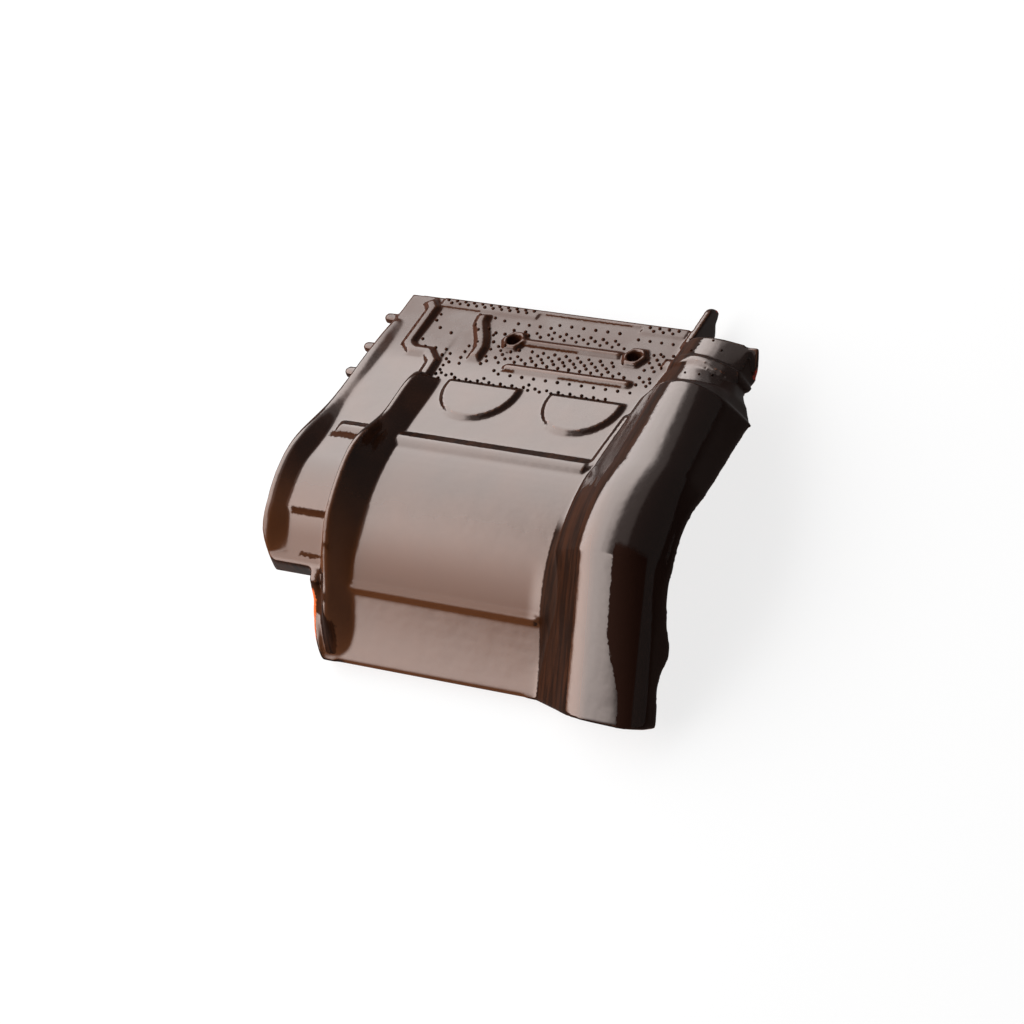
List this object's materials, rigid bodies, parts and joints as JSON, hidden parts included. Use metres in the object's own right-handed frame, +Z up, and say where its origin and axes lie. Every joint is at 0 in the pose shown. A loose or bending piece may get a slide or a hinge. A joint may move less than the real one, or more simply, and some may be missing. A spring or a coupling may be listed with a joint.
{
  "type": "interlocking roof tile, kinked across its middle",
  "caption": "Glazed clay interlocking roof tile with a kink across the middle, one roll along one side and a ribbed side lock along the other.",
  "frame": {"origin": "centre of the bounding box in X and Y, on the level surface that the tile rests on", "axes": "+X from the side lock to the roll, +Y up the slope to the head edge, +Z up, with the tile lying at rest on its nibs and tail"},
  "size_m": [0.2718, 0.2676, 0.0798],
  "materials": {
    "glazed_clay": "gloss"
  },
  "bodies": {
    "root": {"roof_tile": "glazed_clay"}
  },
  "joints": []
}
